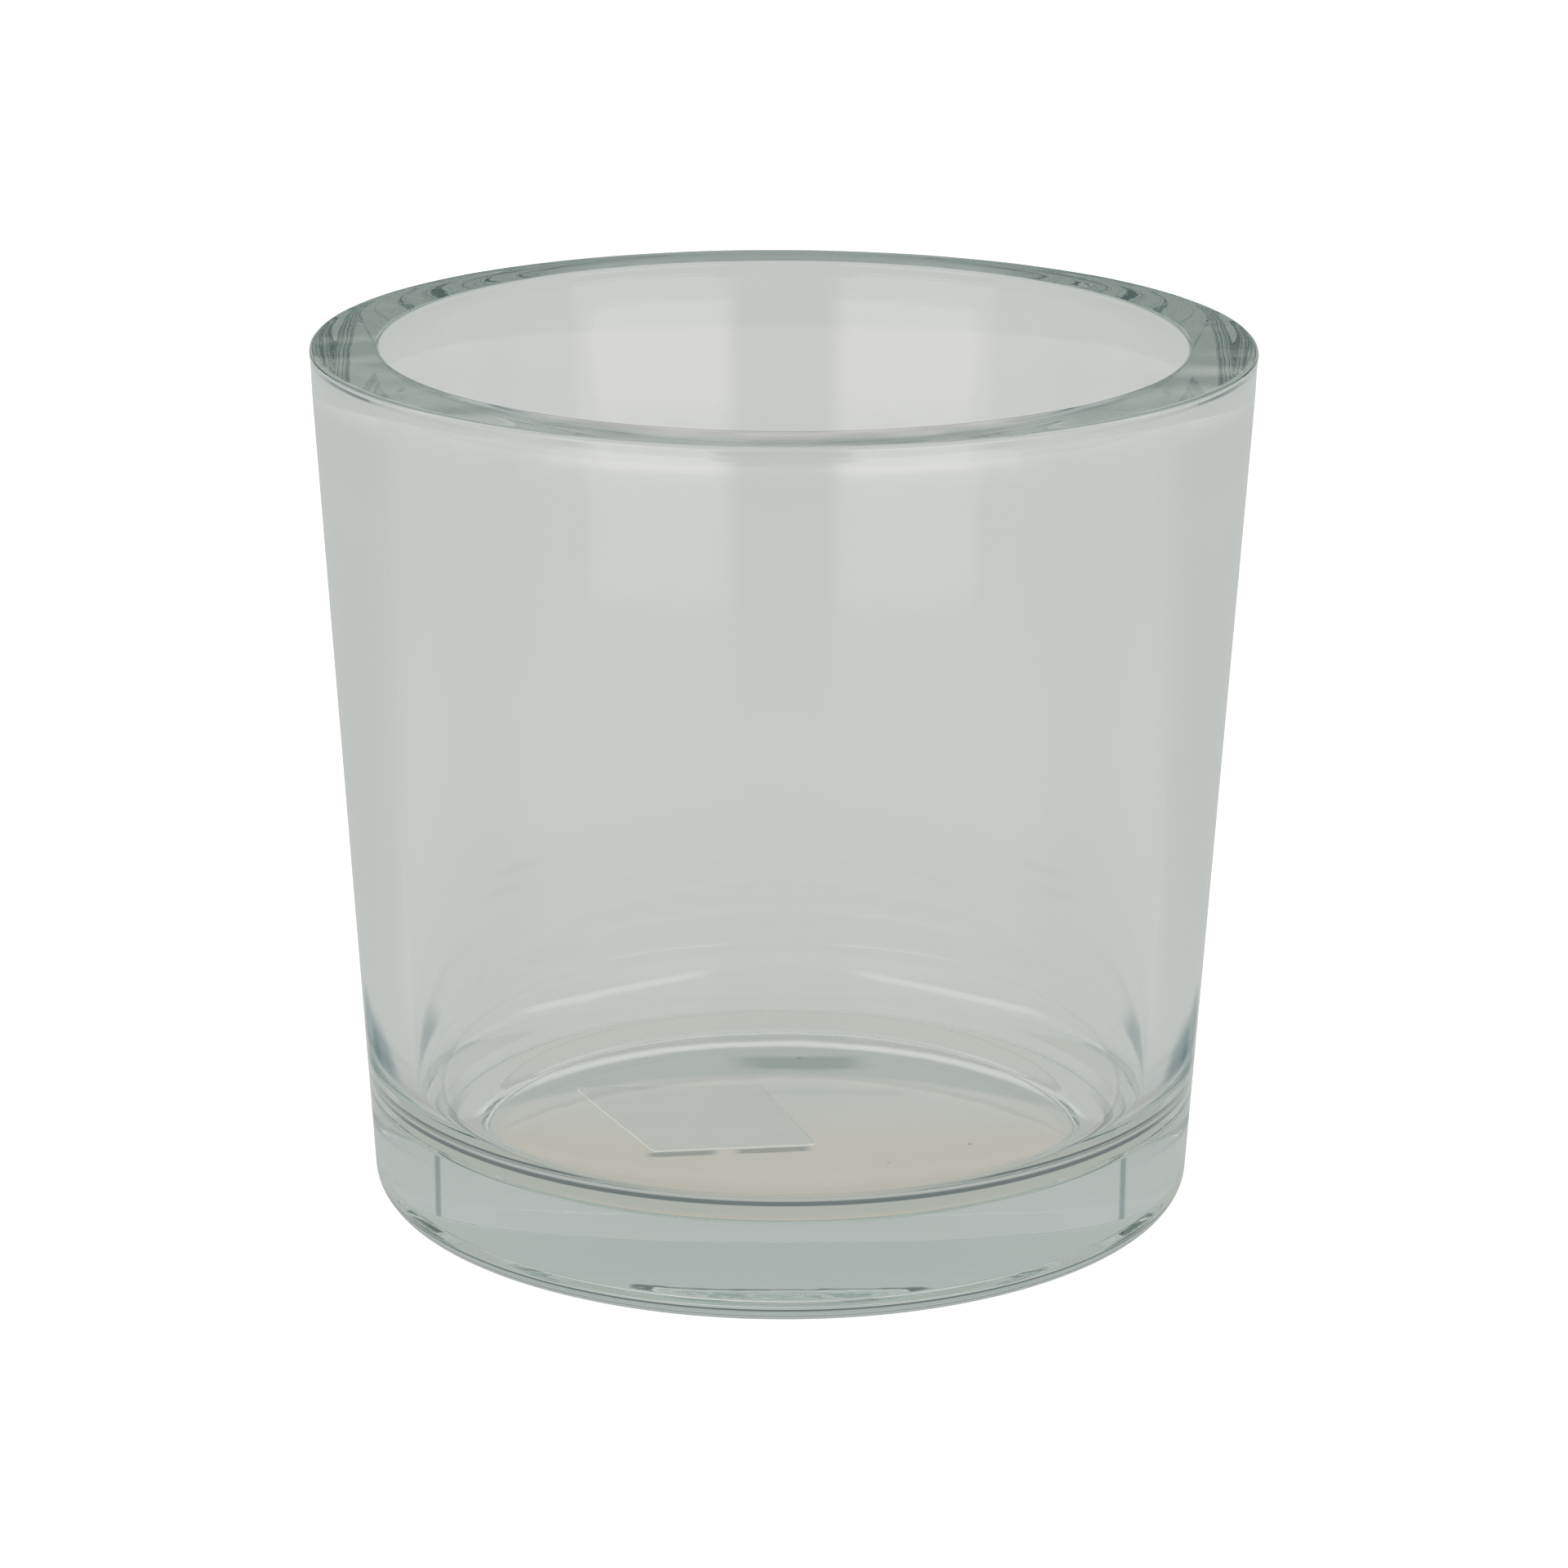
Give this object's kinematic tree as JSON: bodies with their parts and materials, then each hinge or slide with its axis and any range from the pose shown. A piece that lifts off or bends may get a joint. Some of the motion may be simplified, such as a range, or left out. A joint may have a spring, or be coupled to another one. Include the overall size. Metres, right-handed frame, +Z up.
{
  "type": "glass cylinder vase",
  "caption": "Heavy clear pressed-glass flower vase, a slightly tapered cylinder with a thick wall, a thick base and a blank paper sticker under it.",
  "frame": {"origin": "on the table, at the middle of the foot's bearing ring", "axes": "+Z up along the vase's axis, out of the mouth; +Y towards the back, +X to the right; the sticker lies off the middle towards -X and +Y"},
  "size_m": [0.1199, 0.12, 0.1125],
  "materials": {
    "clear_glass": "polished clear soda glass with a faint green-grey edge colour",
    "sticker_paper": "matt uncoated paper, blank"
  },
  "bodies": {
    "root": {"vase_glass": "clear_glass", "base_sticker": "sticker_paper"}
  },
  "joints": []
}
